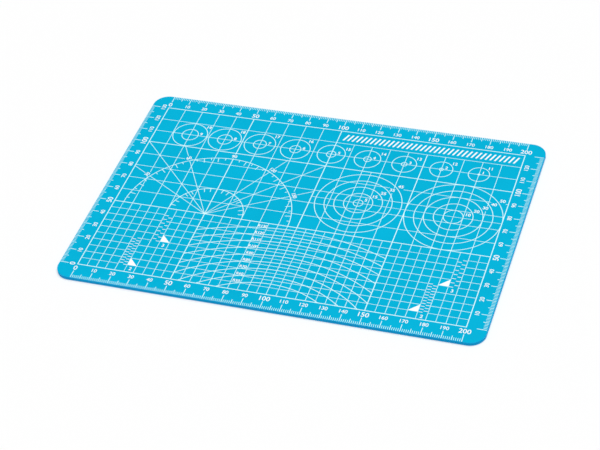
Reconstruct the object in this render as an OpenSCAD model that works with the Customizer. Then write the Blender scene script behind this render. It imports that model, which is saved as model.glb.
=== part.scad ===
// Cutting mat: a rounded three-ply sheet with a white measuring print on its upper face.
// Millimetres. +X runs along the length, +Y away from the user, +Z up out of the printed face.
// The origin is the centre of the underside.
// Print positions are counted from the zero corner of the ruled field, at the front left.

/* [Sheet] */
// Length of the sheet
sheet_l = 220; // [216:1:260]
// Width of the sheet
sheet_w = 150; // [146:1:190]
// Radius of the four corners
corner_r = 8; // [4:0.5:14]
// Thickness of the soft top ply
top_ply_t = 0.8; // [0.4:0.1:1.2]
// Thickness of the stiff core ply
core_ply_t = 0.5; // [0.3:0.1:1.5]
// Thickness of the soft bottom ply
bottom_ply_t = 0.7; // [0.4:0.1:1.2]

/* [Print] */
// Thickness of the dried ink
ink_t = 0.03; // [0.02:0.01:0.1]
// Width of a main line
bold_line = 0.43; // [0.3:0.01:0.8]
// Width of a line of the 10 mm squares
grid_line = 0.27; // [0.15:0.01:0.4]
// Width of a line between them: the 5 mm squares and the rings' centre lines
fine_line = 0.22; // [0.15:0.01:0.4]
// Width of a circle or an arc
round_line = 0.36; // [0.15:0.01:0.45]
// Width of the protractor's spokes and of the dashes
template_line = 0.29; // [0.15:0.01:0.45]
// Width of a 5 mm or 10 mm tick, and of the protractor's ticks
long_tick_line = 0.34; // [0.15:0.01:0.45]
// Width of a 1 mm tick
tick_line = 0.25; // [0.1:0.01:0.4]

/* [Edge scales] */
// How far the whole print sits to the left of the sheet's middle
print_off = 0.25; // [0:0.05:0.8]
// From the edge of the sheet to the outer end of the ticks
scale_inset = 0.15; // [0.1:0.05:0.8]
// From the edge of the sheet to the inner end of a 1 mm tick
tick_1 = 2; // [1:0.1:3]
// From the edge of the sheet to the inner end of a 5 mm tick
tick_5 = 3; // [2:0.1:4]
// From the edge of the sheet to the inner end of a 10 mm tick
tick_10 = 5; // [3:0.1:6]

/* [Templates] */
// Outer diameter of the first pair in the circle row
row_outer_d = 19; // [12:1:19]
// Radius of the protractor's outer arc
dial_outer_r = 45; // [30:1:48]
// Radius of the protractor's inner arc
dial_inner_r = 20; // [10:1:25]
// Radius of the lowest rounding arc
arc_first_r = 50; // [40:5:60]

/* [Hidden] */
// The ruled field and its squares
field_l = 200;
field_w = 130;
fine_pitch = 5;
pitch = 10;
block = 50;
// Where the coarse squares end below the title band at the right
band_y = 120;
// Heights of the layers
core_z = bottom_ply_t;
top_z = core_z + core_ply_t;
face_z = top_z + top_ply_t;
// The circle row: its centre line, how many pairs, and the inner diameter of the first
row_y = 110;
row_count = 9;
row_inner_d = 9;
// The two sets of rings: their centres, how many rings in each, and the smallest of each
rings_y = 75;
small_rings_x = 125;
large_rings_x = 175;
ring_count = 5;
small_ring_d = 5;
large_ring_d = 10;
// The protractor's centre, its labelled angles and the gap left for each label
dial = [50, 50];
dial_tick_long = 3.2;
dial_tick_short = 1.6;
dial_inner_tick = 2.6;
dial_label_gap = 4;
// The protractor's numbers: from its outer arc to their middle, and the half width of two and
// of three digits
dial_number_out = 2.3;
dial_number_2 = 2.2;
dial_number_3 = 3.1;
number_half_h = 1.7;
// The rings' numbers: the middle of the first of each set, from the rings' centre, and the
// steps to the next
small_number_x = 3.4;
large_number_x = 6.9;
ring_number_y = 3;
ring_number_step = [3.7, 3.5];
// The space round a ring's number: half its width, and its reach below and above the middle
ring_number_half_w = 1.9;
ring_number_below = 2.5;
ring_number_above = 1.8;
// Rounding arcs, in the block between x = 50 and x = 150
arc_count = 9;
arc_step = 5;
arc_top_y = 7.5;
arcs_x = 100;
// Stitch guides: columns of staggered dashes, each with a set square beside it
dash_l = 2;
dash_inset = 0.3;
guide_h = 20;
// Their stitch pitches, and the foot and the left side of each column
fine_stitch = 2;
coarse_stitch = 3;
fine_guide_y = 5;
coarse_guide_y = 25;
left_fine_x = 20;
left_coarse_x = 30;
right_fine_x = 175;
right_coarse_x = 185;
// Hatched bar in the title band
bar_x = 102.5;
bar_y = 122.5;
bar_h = 5;
bar_strokes = 38;
bar_pitch = 2.5;
bar_stroke = 0.9;
bar_slant = 2;
// Part of a cutting tool that stands clear of what it cuts
clear = 1;
smooth = 96;

ply_color = "DeepSkyBlue";
core_color = "SteelBlue";
ink_color = "White";

// ---- Shared shapes ----

// A plate with four round corners, centred on the origin
module rounded_plate(thickness) {
    corner_x = sheet_l / 2 - corner_r;
    corner_y = sheet_w / 2 - corner_r;
    linear_extrude(thickness)
        union() {
            square([2 * corner_x, sheet_w], center = true);
            square([sheet_l, 2 * corner_y], center = true);
            for (x = [-corner_x, corner_x], y = [-corner_y, corner_y])
                translate([x, y])
                    circle(r = corner_r, $fn = smooth);
        }
}

// Moves a print from the field's zero corner onto the upper face
module on_face() {
    color(ink_color)
        translate([-field_l / 2 - print_off, -field_w / 2, face_z])
            linear_extrude(ink_t)
                children();
}

// A line along X at height y
module line_x(y, x0, x1, width) {
    translate([x0, y - width / 2])
        square([x1 - x0, width]);
}

// A line along Y at x
module line_y(x, y0, y1, width) {
    translate([x - width / 2, y0])
        square([width, y1 - y0]);
}

// A line from the point at radius r0 to the point at radius r1, at an angle from +X
module spoke(angle, r0, r1, width) {
    rotate(angle)
        line_x(0, r0, r1, width);
}

// A circle drawn with a line of the given width
module ring(d, width) {
    difference() {
        circle(d = d + width, $fn = smooth);
        circle(d = d - width, $fn = smooth);
    }
}

// ---- Sheet ----

module top_ply() {
    color(ply_color)
        translate([0, 0, top_z])
            rounded_plate(top_ply_t);
}

module core_ply() {
    color(core_color)
        translate([0, 0, core_z])
            rounded_plate(core_ply_t);
}

module bottom_ply() {
    color(ply_color)
        rounded_plate(bottom_ply_t);
}

// ---- Edge scales ----

function tick_end(mm) = mm % 10 == 0 ? tick_10 : mm % 5 == 0 ? tick_5 : tick_1;
function tick_width(mm) = mm % 5 == 0 ? long_tick_line : tick_line;

// Ticks standing towards +Y, for an edge of the sheet that lies along the X axis
module tick_row(length, start = scale_inset) {
    for (mm = [0:length])
        line_y(mm, start, tick_end(mm), tick_width(mm));
}

// From the ruled field to the edge of a sheet with the print in its middle
scale_x = (sheet_l - field_l) / 2;
scale_y = (sheet_w - field_w) / 2;

module front_scale() {
    on_face()
        translate([0, -scale_y])
            tick_row(field_l);
}

module back_scale() {
    on_face()
        translate([0, field_w + scale_y])
            mirror([0, 1])
                tick_row(field_l);
}

module left_scale() {
    on_face()
        translate([-scale_x, 0])
            mirror([1, 0])
                rotate(90)
                    tick_row(field_w, scale_inset + print_off);
}

module right_scale() {
    on_face()
        translate([field_l + scale_x, 0])
            rotate(90)
                tick_row(field_w);
}

// ---- Ruled field ----

// The main lines: the border and the block boundaries
module main_lines() {
    edge = bold_line / 2;
    for (y = [0, block, 2 * block, field_w])
        line_x(y, -edge, field_l + edge, bold_line);
    for (x = [0, field_l])
        line_y(x, -edge, field_w + edge, bold_line);
    line_y(block, 0, field_w, bold_line);
    line_y(2 * block, block, field_w, bold_line);
    line_y(3 * block, 0, band_y, bold_line);
}

function square_line(mm) = mm % pitch == 0 ? grid_line : fine_line;

// 5 mm squares in the front part of the field
module fine_squares() {
    for (x = [fine_pitch:fine_pitch:field_l - fine_pitch])
        line_y(x, 0, block, square_line(x));
    difference() {
        for (y = [fine_pitch:fine_pitch:block - fine_pitch])
            line_x(y, 0, field_l, square_line(y));
        for (x = [left_fine_x, right_fine_x])
            guide_window(x, fine_guide_y);
        for (x = [left_coarse_x, right_coarse_x])
            guide_window(x, coarse_guide_y);
    }
}

// The part of a column that its staggered dashes take the place of the cross lines in
module guide_window(x, y) {
    margin = grid_line;
    translate([x, y - margin])
        square([fine_pitch, guide_h + 2 * margin]);
}

// 10 mm squares behind them, and centre lines through the two sets of rings
module coarse_squares() {
    for (x = [pitch:pitch:2 * block - pitch])
        line_y(x, block, field_w, grid_line);
    for (x = [2 * block + pitch:pitch:field_l - pitch])
        line_y(x, block, band_y, grid_line);
    for (y = [block + pitch:pitch:band_y])
        line_x(y, 0, field_l, grid_line);
    for (x = [small_rings_x, large_rings_x])
        line_y(x, block, 2 * block, fine_line);
    line_x(rings_y, 2 * block, field_l, fine_line);
}

// The space that a ring's number needs; it reaches further below the number than above
module ring_number_window() {
    translate([-ring_number_half_w, -ring_number_below])
        square([2 * ring_number_half_w, ring_number_below + ring_number_above]);
}

// Where the lines stop for the printed numbers of the rings and of the protractor
module number_windows() {
    for (x = [small_rings_x + small_number_x, large_rings_x + large_number_x])
        for (i = [1:ring_count - 1])
            translate([x, rings_y + ring_number_y] + i * ring_number_step)
                ring_number_window();
    translate(dial)
        for (a = [30:30:150])
            rotate(a)
                translate([dial_outer_r + dial_number_out, 0])
                    square(2 * [number_half_h, a < 90 ? dial_number_3 : dial_number_2], center = true);
}

module field_lines() {
    fine_squares();
    difference() {
        union() {
            main_lines();
            coarse_squares();
        }
        number_windows();
    }
}

module field_grid() {
    on_face()
        field_lines();
}

// A template is printed between the grid lines, so that no ink lies twice
module template() {
    on_face()
        difference() {
            children();
            field_lines();
        }
}

// ---- Circles ----

// Pairs of circles, each pair 1 mm smaller than the one before
module circle_row() {
    spacing = 2 * pitch;
    template()
        for (i = [0:row_count - 1])
            translate([spacing * (i + 1), row_y]) {
                ring(row_outer_d - i, round_line);
                ring(row_inner_d - i, round_line);
            }
}

// Rings about one centre, each 10 mm larger than the one inside it
module ring_set(x, first_d) {
    template()
        translate([x, rings_y])
            for (i = [0:ring_count - 1])
                ring(first_d + pitch * i, round_line);
}

module small_rings() {
    ring_set(small_rings_x, small_ring_d);
}

module large_rings() {
    ring_set(large_rings_x, large_ring_d);
}

// ---- Protractor ----

// Half a circle above the X axis
module half_ring(r) {
    intersection() {
        ring(2 * r, round_line);
        translate([-r - clear, 0])
            square([2 * (r + clear), r + clear]);
    }
}

// A spoke that stops for its label outside the arc and then runs on to the end radius
module labelled_spoke(angle, end) {
    spoke(angle, 0, dial_outer_r, template_line);
    spoke(angle, dial_outer_r + dial_label_gap, end, template_line);
}

module protractor() {
    template()
        translate(dial) {
            half_ring(dial_outer_r);
            half_ring(dial_inner_r);
            for (a = [30, 150])
                labelled_spoke(a, block / cos(30));
            for (a = [60, 120])
                labelled_spoke(a, block / sin(60));
            for (a = [45, 135])
                spoke(a, 0, block / cos(45), template_line);
            for (a = [10:10:170])
                if (a % 30 != 0) {
                    spoke(a, dial_outer_r - dial_tick_long, dial_outer_r, long_tick_line);
                    spoke(a, dial_inner_r - dial_inner_tick, dial_inner_r, long_tick_line);
                }
            for (a = [5:10:175])
                if (a % 45 != 0)
                    spoke(a, dial_outer_r - dial_tick_short, dial_outer_r, long_tick_line);
        }
}

// ---- Rounding arcs ----

// Each arc has its top on the centre line and a radius 10 mm larger than the one below
module rounding_arcs() {
    template()
        intersection() {
            for (i = [0:arc_count - 1])
                translate([arcs_x, arc_top_y + arc_step * i - (arc_first_r + pitch * i)])
                    ring(2 * (arc_first_r + pitch * i), round_line);
            translate([arcs_x - block, 0])
                square([2 * block, block]);
        }
}

// ---- Stitch guides ----

// Two files of dashes in one column, staggered by half their pitch. step is the pitch,
// and side is 1 where the first dash is in the right-hand file and -1 where it is in the left
module dashes(x, y, step, side) {
    width = template_line;
    centre = x + fine_pitch / 2;
    reach = fine_pitch / 2 - dash_inset - dash_l / 2;
    for (i = [0:floor(guide_h / step)])
        dash(centre + side * reach, y + step * i, width);
    for (i = [0:floor(guide_h / step - 0.5)])
        dash(centre - side * reach, y + step * (i + 0.5), width);
}

module dash(x, y, width) {
    line_x(y, x - dash_l / 2, x + dash_l / 2, width);
}

// A solid right-angled set square: its corner at x, y, its legs along X and up
module set_square(x, y, side) {
    translate([x, y])
        polygon([[0, 0], [side * fine_pitch, 0], [0, fine_pitch]]);
}

module left_stitch_guides() {
    template() {
        dashes(left_fine_x, fine_guide_y, fine_stitch, 1);
        dashes(left_coarse_x, coarse_guide_y, coarse_stitch, 1);
        set_square(left_fine_x + fine_pitch, fine_guide_y, 1);
        set_square(left_coarse_x + fine_pitch, coarse_guide_y, 1);
    }
}

module right_stitch_guides() {
    template() {
        dashes(right_fine_x, fine_guide_y, fine_stitch, -1);
        dashes(right_coarse_x, coarse_guide_y, coarse_stitch, -1);
        set_square(right_fine_x, fine_guide_y, -1);
        set_square(right_coarse_x, coarse_guide_y, -1);
    }
}

// ---- Title band ----

// A plain hatched bar: a row of slanting strokes, level at their ends
module title_bar() {
    on_face()
        for (i = [0:bar_strokes - 1])
            translate([bar_x + bar_pitch * i, bar_y])
                polygon([[0, 0], [bar_stroke, 0], [bar_stroke + bar_slant, bar_h], [bar_slant, bar_h]]);
}

top_ply();
core_ply();
bottom_ply();
front_scale();
back_scale();
left_scale();
right_scale();
field_grid();
circle_row();
small_rings();
large_rings();
protractor();
rounding_arcs();
left_stitch_guides();
right_stitch_guides();
title_bar();
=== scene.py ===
"""Cutting mat: the look of a three-ply self-healing sheet and of its white measuring print.

The three plies are built here with their die-cut edges. The printed lines are the frame's own
solids with an ink finish, and the numerals are printed beside them. Lengths are metres; where a
size is easier to read in millimetres, it is turned into metres by MM.
"""

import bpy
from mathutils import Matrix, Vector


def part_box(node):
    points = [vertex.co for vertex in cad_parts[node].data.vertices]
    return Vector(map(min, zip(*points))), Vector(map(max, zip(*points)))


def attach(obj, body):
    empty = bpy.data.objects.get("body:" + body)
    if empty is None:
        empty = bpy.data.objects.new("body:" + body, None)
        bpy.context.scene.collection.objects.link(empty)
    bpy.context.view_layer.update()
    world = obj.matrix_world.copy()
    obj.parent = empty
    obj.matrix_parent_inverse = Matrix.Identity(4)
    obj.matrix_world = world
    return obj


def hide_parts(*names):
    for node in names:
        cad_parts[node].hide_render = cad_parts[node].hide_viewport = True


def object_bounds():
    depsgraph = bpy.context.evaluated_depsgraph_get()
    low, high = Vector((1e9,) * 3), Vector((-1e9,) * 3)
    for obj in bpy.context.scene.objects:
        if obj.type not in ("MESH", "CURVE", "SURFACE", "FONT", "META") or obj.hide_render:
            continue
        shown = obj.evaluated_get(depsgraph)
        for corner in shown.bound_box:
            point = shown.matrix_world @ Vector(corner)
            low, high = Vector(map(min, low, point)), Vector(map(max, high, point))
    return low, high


bl_info = {
    "name": "Cutting mat",
    "version": (1, 0, 0),
    "blender": (4, 5, 0),
    "location": "3D View > Sidebar > Cutting mat",
    "description": "Builds a three-ply cutting mat, its measuring print and a plain studio stage",
    "category": "Object",
}

import math

import bmesh
import bpy
from bpy.props import FloatProperty, FloatVectorProperty, IntProperty, PointerProperty
from bpy.types import Operator, Panel, PropertyGroup
from mathutils import Matrix, Vector

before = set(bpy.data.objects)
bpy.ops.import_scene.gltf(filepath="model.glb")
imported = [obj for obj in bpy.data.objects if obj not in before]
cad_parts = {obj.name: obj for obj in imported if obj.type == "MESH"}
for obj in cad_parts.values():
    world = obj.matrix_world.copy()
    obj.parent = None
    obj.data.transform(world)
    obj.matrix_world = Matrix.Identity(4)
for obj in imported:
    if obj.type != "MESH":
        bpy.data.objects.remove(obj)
CAD_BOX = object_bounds()

MM = 0.001
BODY = "root"
PVC_IOR = 1.53

# The frame's solids that are printed ink: those of hairlines, and those with filled shapes
LINE_NODES = (
    "front_scale", "back_scale", "left_scale", "right_scale", "field_grid",
    "circle_row", "small_rings", "large_rings", "protractor", "rounding_arcs",
)
SOLID_NODES = ("left_stitch_guides", "right_stitch_guides", "title_bar")

# The ruled field's size, and its zero corner, which print positions are counted from
FIELD = Vector((200 * MM, 130 * MM))
GRID_LOW, GRID_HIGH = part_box("field_grid")
ZERO = ((GRID_LOW + GRID_HIGH) / 2).to_2d() - FIELD / 2

# Millimetres from one numeral of an edge scale to the next, and from one large one to the next
NUMERAL_STEP = 10
LARGE_STEP = 50

# The height of the upper face, and the thickness of the ink on it
FACE_Z = GRID_LOW.z
INK = GRID_HIGH.z - GRID_LOW.z


def srgb(code):
    """Turns an sRGB hex code, such as "00AFD5", into a linear colour."""
    channels = [int(code[i:i + 2], 16) / 255 for i in (0, 2, 4)]
    return [c / 12.92 if c <= 0.04045 else ((c + 0.055) / 1.055) ** 2.4 for c in channels]


# ---- Settings ----

def length(name, description, millimetres):
    """A length property with its default in millimetres."""
    return FloatProperty(
        name=name, description=description, default=millimetres * MM, unit="LENGTH", precision=5)


def bearing(name, description, degrees):
    """An angle property with its default in degrees."""
    return FloatProperty(
        name=name, description=description, default=math.radians(degrees), subtype="ANGLE")


def colour(name, description, code):
    """A colour property with its default as an sRGB hex code."""
    return FloatVectorProperty(
        name=name, description=description, default=srgb(code), subtype="COLOR", size=3, min=0, max=1)


class SheetSettings(PropertyGroup):
    """Sizes and colours of the three plies."""

    corner_radius: length("Corner radius", "Radius of the sheet's four corners", 8)
    top_round: length("Top edge", "Rounding that the cutting die leaves on the upper edge", 0.15)
    bottom_round: length("Bottom edge", "Rounding of the lower edge", 0.15)
    waist: length("Waist", "How far the cut edge of a soft ply draws in", 0.05)
    seam: length("Seam", "Size of the fine groove between two plies", 0.04)
    corner_steps: IntProperty(
        name="Corner steps", description="Straight pieces in each corner", default=32, min=4)
    pvc: colour("Soft PVC", "Colour of the upper and lower faces", "00AFD5")
    cut_pvc: colour("Cut PVC", "Colour of the soft plies where the die cut them", "00ABE6")
    core: colour("Core", "Colour of the stiff core's cut edge", "009AD6")


class PrintSettings(PropertyGroup):
    """Colours of the ink, and sizes of the numerals."""

    ink: colour("Ink", "Colour of the ink where it covers fully", "FBFDFD")
    thin_ink: colour("Thin ink", "Colour of a hairline's ink, which lets some cyan through", "D8FCFF")
    small: length("Small numerals", "Height of the edge scales' numerals", 2.25)
    large: length("Large numerals", "Height of the edge scales' numerals at each 50 mm", 2.93)
    fine: length("Fine numerals", "Height of the numerals on the rounding arcs", 1.75)
    medium: length("Medium numerals", "Height of the other templates' numerals", 2.15)
    margin: length("Margin", "From the ruled field's border to the middle of the edge numerals", 2.84)
    weight: FloatProperty(
        name="Weight", description="Extra stroke of the edge numerals, as a share of their size",
        default=0.006, min=-0.03, max=0.05)
    template_weight: FloatProperty(
        name="Template weight",
        description="Extra stroke of the templates' numerals, as a share of their size",
        default=0.014, min=-0.03, max=0.05)


class StageSettings(PropertyGroup):
    """Camera, floor and lights."""

    azimuth: bearing("Azimuth", "Camera's turn about +Z", 21.574)
    elevation: bearing("Elevation", "Camera's height above the horizon", 41.253)
    roll: bearing("Roll", "Camera's turn about its own axis", -6.058)
    distance: length("Distance", "From the camera to the point it looks at", 910.34)
    aim_x: length("Aim X", "Point looked at, from the middle of the upper face", 0.624)
    aim_y: length("Aim Y", "Point looked at, from the middle of the upper face", -12.641)
    lens: FloatProperty(
        name="Lens", description="Focal length in millimetres", default=107.73, min=10, max=300)
    floor: colour("Floor", "Colour of the table", "D0D0D0")
    glow: FloatProperty(
        name="Glow", description="Strength of the table's own light", default=0.31, min=0)
    sky: FloatProperty(
        name="Sky", description="Strength of the even light from all round", default=0.25, min=0)
    key: FloatProperty(
        name="Key", description="Strength of the broad light overhead", default=2.66, min=0)


# ---- Materials ----

def add_node(tree, kind, inputs=None, **settings):
    """Adds one node, sets its properties, and fills or links its inputs."""
    node = tree.nodes.new(kind)
    for name, value in settings.items():
        setattr(node, name, value)
    for socket, value in (inputs or {}).items():
        if isinstance(value, bpy.types.NodeSocket):
            tree.links.new(value, node.inputs[socket])
        else:
            node.inputs[socket].default_value = value
    return node


def new_material(name):
    """A new material whose node tree is empty, and that tree."""
    material = bpy.data.materials.new(name)
    material.use_nodes = True
    material.node_tree.nodes.clear()
    return material, material.node_tree


def shade(tree, inputs):
    """Ends a material with a Principled shader."""
    shader = add_node(tree, "ShaderNodeBsdfPrincipled", inputs)
    add_node(tree, "ShaderNodeOutputMaterial", {"Surface": shader.outputs["BSDF"]})


def tint(rgb, factor):
    """A colour made lighter or darker, as an RGBA value."""
    return [min(1.0, c * factor) for c in rgb] + [1.0]


def per_metre(millimetres):
    """The scale of a pattern whose features are that far apart."""
    return 1 / (millimetres * MM)


def pressed_soft_pvc(settings):
    """Soft PVC sheet pressed between matt plates: an even cyan with a dull, fine-grained face.

    The grain breaks up reflections, so there is no gloss, only a faint sparkle of the pits.
    The real grain is about 0.1 mm; it is drawn at 0.45 mm so that it shows. Broad clouds of colour
    come from the mixing of the pigment.
    """
    cloud_size = 30
    grain_size = 0.45
    pit_depth = 0.03
    material, tree = new_material("pressed_soft_pvc")
    place = add_node(tree, "ShaderNodeTexCoord").outputs["Object"]
    cloud = add_node(
        tree, "ShaderNodeTexNoise", {"Vector": place, "Scale": per_metre(cloud_size), "Detail": 2.0})
    grain = add_node(
        tree, "ShaderNodeTexNoise",
        {"Vector": place, "Scale": per_metre(grain_size), "Detail": 3.0, "Roughness": 0.65})
    speck = add_node(
        tree, "ShaderNodeMix", {"Factor": 0.6, "A": cloud.outputs["Fac"], "B": grain.outputs["Fac"]})
    tone = add_node(tree, "ShaderNodeValToRGB", {"Fac": speck.outputs["Result"]})
    low, high = tone.color_ramp.elements
    low.position, low.color = 0.35, tint(settings.pvc, 0.93)
    high.position, high.color = 0.65, tint(settings.pvc, 1.05)
    dull = add_node(
        tree, "ShaderNodeMapRange",
        {"Value": grain.outputs["Fac"], "From Min": 0.3, "From Max": 0.7, "To Min": 0.5, "To Max": 0.68})
    pits = add_node(
        tree, "ShaderNodeBump",
        {"Strength": 0.35, "Distance": pit_depth * MM, "Height": grain.outputs["Fac"]})
    shade(tree, {
        "Base Color": tone.outputs["Color"],
        "Roughness": dull.outputs["Result"],
        "Normal": pits.outputs["Normal"],
        "IOR": PVC_IOR,
        "Specular IOR Level": 0.03,
    })
    return material


def die_cut_pvc(name, rgb, streak):
    """The cut edge of a PVC sheet: deeper in colour than the pressed face, and smoother.

    The die drags down through the sheet and leaves fine upright lines, streak millimetres apart.
    """
    # Scale of the pattern along Z, which draws its grains out into upright lines
    upright_scale = 0.08
    line_depth = 0.03
    material, tree = new_material(name)
    place = add_node(tree, "ShaderNodeTexCoord").outputs["Object"]
    upright = add_node(tree, "ShaderNodeMapping", {"Vector": place, "Scale": (1.0, 1.0, upright_scale)})
    lines = add_node(
        tree, "ShaderNodeTexNoise",
        {"Vector": upright.outputs["Vector"], "Scale": per_metre(streak), "Detail": 4.0,
         "Roughness": 0.7})
    tone = add_node(tree, "ShaderNodeValToRGB", {"Fac": lines.outputs["Fac"]})
    low, high = tone.color_ramp.elements
    low.position, low.color = 0.3, tint(rgb, 0.88)
    high.position, high.color = 0.7, tint(rgb, 1.08)
    drag = add_node(
        tree, "ShaderNodeBump",
        {"Strength": 0.4, "Distance": line_depth * MM, "Height": lines.outputs["Fac"]})
    shade(tree, {
        "Base Color": tone.outputs["Color"],
        "Normal": drag.outputs["Normal"],
        "Roughness": 0.45,
        "IOR": PVC_IOR,
        "Specular IOR Level": 0.05,
    })
    return material


def screen_printed_ink(name, rgb):
    """White vinyl screen ink: dense and matt, and very slightly uneven where the mesh laid it down.

    The mesh of the screen is about 0.12 mm; it is drawn at 0.3 mm so that it shows.
    """
    mesh_size = 0.3
    film_depth = 0.01
    material, tree = new_material(name)
    place = add_node(tree, "ShaderNodeTexCoord").outputs["Object"]
    mesh = add_node(
        tree, "ShaderNodeTexNoise", {"Vector": place, "Scale": per_metre(mesh_size), "Detail": 2.0})
    tone = add_node(tree, "ShaderNodeValToRGB", {"Fac": mesh.outputs["Fac"]})
    low, high = tone.color_ramp.elements
    low.position, low.color = 0.25, tint(rgb, 0.94)
    high.position, high.color = 0.5, tint(rgb, 1.0)
    film = add_node(
        tree, "ShaderNodeBump",
        {"Strength": 0.2, "Distance": film_depth * MM, "Height": mesh.outputs["Fac"]})
    shade(tree, {
        "Base Color": tone.outputs["Color"],
        "Normal": film.outputs["Normal"],
        "Roughness": 0.55,
        "IOR": 1.5,
        "Specular IOR Level": 0.3,
    })
    return material


def once(name, make):
    """The material of that name, made the first time it is asked for."""
    return bpy.data.materials.get(name) or make()


def full_ink(settings):
    """The white ink of numerals and solid shapes."""
    name = "screen_printed_white_ink"
    return once(name, lambda: screen_printed_ink(name, settings.ink))


def thin_ink(settings):
    """The thinner film of ink that a hairline gets: the cyan below tints it."""
    name = "screen_printed_hairline_ink"
    return once(name, lambda: screen_printed_ink(name, settings.thin_ink))


# ---- Sheet ----

def outline(inset, settings):
    """The sheet's outline drawn in by inset: straight sides joined by arcs, anticlockwise."""
    low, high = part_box("top_ply")
    radius = settings.corner_radius - inset
    middle = (low + high) / 2
    reach = (high - low) / 2 - Vector((settings.corner_radius, settings.corner_radius, 0))
    points = []
    for quarter, (side_x, side_y) in enumerate(((1, 1), (-1, 1), (-1, -1), (1, -1))):
        for step in range(settings.corner_steps + 1):
            angle = math.pi / 2 * (quarter + step / settings.corner_steps)
            points.append((
                middle.x + side_x * reach.x + radius * math.cos(angle),
                middle.y + side_y * reach.y + radius * math.sin(angle),
            ))
    return points


def round_over(radius, steps=6):
    """A quarter round as (inset, drop) pairs, from the wall to the face it turns into."""
    quarter = [math.pi / 2 * i / steps for i in range(steps + 1)]
    return [(radius * (1 - math.cos(a)), radius * (1 - math.sin(a))) for a in quarter]


def ply_wall(z0, z1, low_round, high_round, waist, steps=6):
    """The cut edge of one ply as (inset, height) pairs from its lower face to its upper one."""
    lower = [(inset, z0 + drop) for inset, drop in reversed(round_over(low_round))]
    upper = [(inset, z1 - drop) for inset, drop in round_over(high_round)]
    start, end = z0 + low_round, z1 - high_round
    share = [i / steps for i in range(1, steps)]
    middle = [(waist * math.sin(math.pi * s), start + s * (end - start)) for s in share]
    return lower + middle + upper


def build_ply(name, node, wall, face_material, cut_material, settings):
    """One ply: its wall lofted round the outline, and a flat face above and below."""
    mesh = bpy.data.meshes.new(name)
    form = bmesh.new()
    loops = [[form.verts.new((x, y, z)) for x, y in outline(inset, settings)] for inset, z in wall]
    for below, above in zip(loops, loops[1:]):
        for i in range(len(below)):
            j = (i + 1) % len(below)
            edge_face = form.faces.new((below[i], below[j], above[j], above[i]))
            edge_face.material_index = 1
    form.faces.new(list(reversed(loops[0])))
    form.faces.new(loops[-1])
    for face in form.faces:
        face.smooth = True
    form.to_mesh(mesh)
    form.free()
    mesh.set_sharp_from_angle(angle=math.radians(40))
    mesh.materials.append(face_material)
    mesh.materials.append(cut_material)
    ply = bpy.data.objects.new(name, mesh)
    bpy.context.scene.collection.objects.link(ply)
    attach(ply, BODY)
    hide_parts(node)
    return ply


class MAT_OT_soft_plies(Operator):
    """Builds the soft top and bottom plies."""

    bl_idname = "cutting_mat.soft_plies"
    bl_label = "Soft plies"

    def execute(self, context):
        settings = context.scene.mat_sheet
        face = once("pressed_soft_pvc", lambda: pressed_soft_pvc(settings))
        cut = once("die_cut_soft_pvc", lambda: die_cut_pvc("die_cut_soft_pvc", settings.cut_pvc, 0.5))
        for node, low_round, high_round in (
            ("top_ply", settings.seam, settings.top_round),
            ("bottom_ply", settings.bottom_round, settings.seam),
        ):
            low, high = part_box(node)
            wall = ply_wall(low.z, high.z, low_round, high_round, settings.waist)
            build_ply("soft_" + node, node, wall, face, cut, settings)
        return {"FINISHED"}


class MAT_OT_core_ply(Operator):
    """Builds the stiff ply between the soft ones."""

    bl_idname = "cutting_mat.core_ply"
    bl_label = "Core ply"

    def execute(self, context):
        settings = context.scene.mat_sheet
        cut = once("die_cut_stiff_pvc", lambda: die_cut_pvc("die_cut_stiff_pvc", settings.core, 0.35))
        low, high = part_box("core_ply")
        wall = ply_wall(low.z, high.z, settings.seam, settings.seam, 0)
        build_ply("stiff_core_ply", "core_ply", wall, cut, cut, settings)
        return {"FINISHED"}


# ---- Print ----

class MAT_OT_printed_lines(Operator):
    """Gives the printed lines their ink."""

    bl_idname = "cutting_mat.printed_lines"
    bl_label = "Printed lines"

    def execute(self, context):
        settings = context.scene.mat_print
        for names, ink in ((LINE_NODES, thin_ink(settings)), (SOLID_NODES, full_ink(settings))):
            for name in names:
                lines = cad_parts[name]
                lines.data.materials.clear()
                lines.data.materials.append(ink)
        return {"FINISHED"}


def numeral_form(text, weight):
    """A number as a flat mesh of unit height with its middle on the origin, standing on z = 0.

    The digits keep the font's even spacing, so a 1 has more room about it.
    """
    curve = bpy.data.curves.new("numeral", "FONT")
    curve.body = text
    curve.align_x = "CENTER"
    curve.extrude = 0.5
    curve.offset = weight
    curve.resolution_u = 6
    carrier = bpy.data.objects.new("numeral", curve)
    bpy.context.scene.collection.objects.link(carrier)
    bpy.context.view_layer.update()
    form = bmesh.new()
    form.from_mesh(carrier.to_mesh())
    carrier.to_mesh_clear()
    bpy.data.objects.remove(carrier)
    bpy.data.curves.remove(curve)
    # A text's faces and sides come apart, so the points that they share are joined
    bmesh.ops.remove_doubles(form, verts=form.verts, dist=1e-5)
    heights = [v.co.y for v in form.verts]
    low, high = min(heights), max(heights)
    bmesh.ops.translate(form, verts=form.verts, vec=(0, -(low + high) / 2, 0.5))
    bmesh.ops.scale(form, verts=form.verts, vec=(1 / (high - low), 1 / (high - low), 1))
    return form


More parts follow.
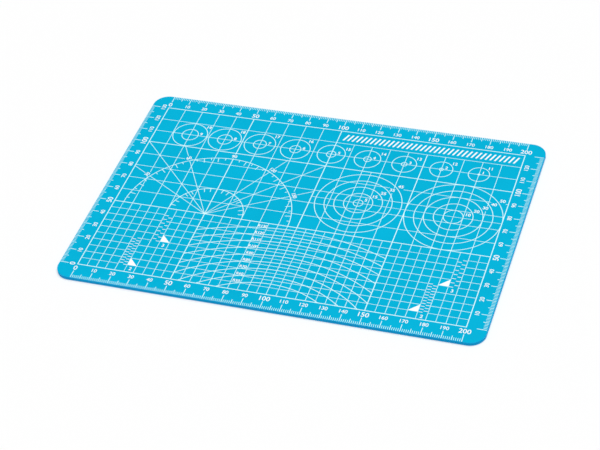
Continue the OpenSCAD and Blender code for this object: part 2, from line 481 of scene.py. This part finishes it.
def print_numerals(name, labels, weight, settings):
    """Prints (text, x, y, height, turn) labels, placed from the field's zero corner, as one piece."""
    mesh = bpy.data.meshes.new(name)
    sheet = bmesh.new()
    for text, x, y, height, turn in labels:
        form = numeral_form(text, weight)
        place = (
            Matrix.Translation((ZERO.x + x, ZERO.y + y, FACE_Z))
            @ Matrix.Rotation(turn, 4, "Z")
            @ Matrix.Diagonal((height, height, INK, 1)))
        form.transform(place)
        part = bpy.data.meshes.new("part")
        form.to_mesh(part)
        form.free()
        sheet.from_mesh(part)
        bpy.data.meshes.remove(part)
    sheet.to_mesh(mesh)
    sheet.free()
    mesh.materials.append(full_ink(settings))
    numerals = bpy.data.objects.new(name, mesh)
    bpy.context.scene.collection.objects.link(numerals)
    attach(numerals, BODY)


def scale_height(mark, settings):
    """The height of the numeral at a mark: most are small, and those at every 50 mm are large."""
    return settings.large if mark % LARGE_STEP == 0 else settings.small


class MAT_OT_scale_numerals(Operator):
    """Prints the numerals of the four edge scales."""

    bl_idname = "cutting_mat.scale_numerals"
    bl_label = "Scale numerals"

    def execute(self, context):
        settings = context.scene.mat_print
        along = range(0, round(FIELD.x / MM) + 1, NUMERAL_STEP)
        across = range(0, round(FIELD.y / MM) + 1, NUMERAL_STEP)
        upward = math.pi / 2
        rows = {
            "front_numerals": [(m, m * MM, -settings.margin, 0) for m in along],
            "back_numerals": [(m, m * MM, FIELD.y + settings.margin, 0) for m in along],
            "left_numerals": [(m, -settings.margin, m * MM, upward) for m in across],
            "right_numerals": [(m, FIELD.x + settings.margin, m * MM, upward) for m in across[1:-1]],
        }
        for name, row in rows.items():
            labels = [(str(m), x, y, scale_height(m, settings), turn) for m, x, y, turn in row]
            print_numerals(name, labels, settings.weight, settings)
        return {"FINISHED"}


def label(text, x, y, height, turn=0):
    """A label for print_numerals, with its place given in millimetres from the zero corner."""
    return str(text), x * MM, y * MM, height, turn


def circle_row_labels(settings):
    """Diameters of the pairs of circles: up and right of the outer one, just right of the inner."""
    spacing = 20
    row_y = 110
    first_outer = 19
    first_inner = 9
    outward = (8.2, 7.7, 7.3, 6.4, 7.8, 7.3, 6.7, 5.9, 5.0)
    high_labels = 4
    high = 7.95
    low = 5.7
    inner_gap = 1.43
    inner_up = 1.65
    labels = []
    for i, out in enumerate(outward):
        x = spacing * (i + 1)
        up = high if i < high_labels else low
        inner = first_inner - i
        labels.append(label(first_outer - i, x + out, row_y + up, settings.medium))
        labels.append(label(inner, x + inner / 2 + inner_gap, row_y + inner_up, settings.medium))
    return labels


def ring_labels(settings, x, first, first_out):
    """Diameters of a set of five rings about x, in a row that slants to the upper right.

    The smallest ring's diameter is first, and the middle of its label is first_out right of x.
    """
    count = 5
    ring_step = 10
    first_y = 78
    step_x = 3.7
    step_y = 3.5
    return [
        label(first + ring_step * i, x + first_out + step_x * i, first_y + step_y * i, settings.medium)
        for i in range(count)
    ]


def protractor_labels(settings):
    """Degrees round the outside of the protractor, each turned to stand on the arc."""
    centre = 50
    radius = 47.3
    labels = []
    for degrees in (30, 60, 90, 120, 150):
        angle = math.radians(180 - degrees)
        x = centre + radius * math.cos(angle)
        y = centre + radius * math.sin(angle)
        labels.append(label(degrees, x, y, settings.medium, angle - math.pi / 2))
    return labels


def arc_labels(settings):
    """Radii on the rounding arcs, in one column left of the middle."""
    count = 9
    first_radius = 50
    radius_step = 10
    column_x = 82.5
    first_y = 6.3
    step_y = 5.15
    return [
        label("R%d" % (first_radius + radius_step * i), column_x, first_y + step_y * i, settings.fine)
        for i in range(count)
    ]


def guide_labels(settings):
    """Pitches of the four stitch guides, each near its guide's foot, as (pitch, x, y)."""
    places = ((2, 27.5, 2.6), (3, 37.5, 22.5), (2, 177.5, 2.2), (3, 187.5, 22.4))
    return [label(pitch, x, y, settings.medium) for pitch, x, y in places]


class MAT_OT_template_numerals(Operator):
    """Prints the numerals inside the ruled field."""

    bl_idname = "cutting_mat.template_numerals"
    bl_label = "Template numerals"

    def execute(self, context):
        settings = context.scene.mat_print
        groups = {
            "circle_row_numerals": circle_row_labels(settings),
            "small_ring_numerals": ring_labels(settings, x=125, first=5, first_out=3.4),
            "large_ring_numerals": ring_labels(settings, x=175, first=10, first_out=6.9),
            "protractor_numerals": protractor_labels(settings),
            "arc_numerals": arc_labels(settings),
            "guide_numerals": guide_labels(settings),
        }
        for name, labels in groups.items():
            print_numerals(name, labels, settings.template_weight, settings)
        return {"FINISHED"}


# ---- Stage ----

def build_floor(settings):
    """A wide, pale light table just under the mat: its own faint glow thins the mat's shadow."""
    reach = 4.0
    gap = 0.05 * MM
    mesh = bpy.data.meshes.new("table_top")
    corners = [(-reach, -reach, 0), (reach, -reach, 0), (reach, reach, 0), (-reach, reach, 0)]
    mesh.from_pydata(corners, [], [(0, 1, 2, 3)])
    material, tree = new_material("pale_laminate")
    shade(tree, {
        "Base Color": list(settings.floor) + [1.0],
        "Roughness": 0.9,
        "Specular IOR Level": 0.1,
        "Emission Color": (1.0, 1.0, 1.0, 1.0),
        "Emission Strength": settings.glow,
    })
    mesh.materials.append(material)
    floor = bpy.data.objects.new("table_top", mesh)
    floor.location.z = CAD_BOX[0][2] - gap
    bpy.context.scene.collection.objects.link(floor)


def build_lights(settings):
    """An even sky, and one broad, soft light overhead, leaning to the mat's right."""
    world = bpy.data.worlds.new("soft_studio")
    world.use_nodes = True
    sky = world.node_tree.nodes["Background"].inputs
    sky["Color"].default_value = (1, 1, 1, 1)
    sky["Strength"].default_value = settings.sky
    bpy.context.scene.world = world
    light = bpy.data.lights.new("overhead", "SUN")
    light.angle = math.radians(60)
    light.energy = settings.key
    overhead = bpy.data.objects.new("overhead", light)
    overhead.location = (0.15, 0.0, 1.0)
    overhead.rotation_euler = (-overhead.location).to_track_quat("-Z", "Y").to_euler()
    bpy.context.scene.collection.objects.link(overhead)


def build_camera(settings):
    """The camera, turned about the point it looks at."""
    data = bpy.data.cameras.new("camera")
    data.lens = settings.lens
    data.sensor_width = 36
    turn = (
        Matrix.Rotation(settings.azimuth, 4, "Z")
        @ Matrix.Rotation(math.pi / 2 - settings.elevation, 4, "X")
        @ Matrix.Rotation(settings.roll, 4, "Z"))
    aim = Matrix.Translation((settings.aim_x, settings.aim_y, FACE_Z))
    camera = bpy.data.objects.new("camera", data)
    camera.matrix_world = aim @ turn @ Matrix.Translation((0, 0, settings.distance))
    bpy.context.scene.collection.objects.link(camera)
    bpy.context.scene.camera = camera


class MAT_OT_stage(Operator):
    """Builds the floor, the lights and the camera."""

    bl_idname = "cutting_mat.stage"
    bl_label = "Stage"

    def execute(self, context):
        settings = context.scene.mat_stage
        build_floor(settings)
        build_lights(settings)
        build_camera(settings)
        context.scene.view_settings.view_transform = "Standard"
        return {"FINISHED"}


# ---- Add-on ----

class MAT_PT_sidebar(Panel):
    """Lists the mat's settings and the steps that build it."""

    bl_idname = "MAT_PT_sidebar"
    bl_label = "Cutting mat"
    bl_space_type = "VIEW_3D"
    bl_region_type = "UI"
    bl_category = "Cutting mat"

    def draw(self, context):
        for settings in (context.scene.mat_sheet, context.scene.mat_print, context.scene.mat_stage):
            box = self.layout.box()
            for name in settings.__annotations__:
                box.prop(settings, name)
        for step in STEPS:
            self.layout.operator(step.bl_idname)


STEPS = (
    MAT_OT_stage, MAT_OT_soft_plies, MAT_OT_core_ply, MAT_OT_printed_lines,
    MAT_OT_scale_numerals, MAT_OT_template_numerals,
)
SETTINGS = {"mat_sheet": SheetSettings, "mat_print": PrintSettings, "mat_stage": StageSettings}
CLASSES = (*SETTINGS.values(), *STEPS, MAT_PT_sidebar)


def register():
    """Registers the classes and hangs the settings on the scene."""
    for item in CLASSES:
        bpy.utils.register_class(item)
    for name, group in SETTINGS.items():
        setattr(bpy.types.Scene, name, PointerProperty(type=group))


def unregister():
    """Removes what register added."""
    for name in SETTINGS:
        delattr(bpy.types.Scene, name)
    for item in reversed(CLASSES):
        bpy.utils.unregister_class(item)


def main():
    """Builds the whole scene."""
    register()
    for step in STEPS:
        group, name = step.bl_idname.split(".")
        getattr(getattr(bpy.ops, group), name)()


if __name__ == "__main__":
    main()
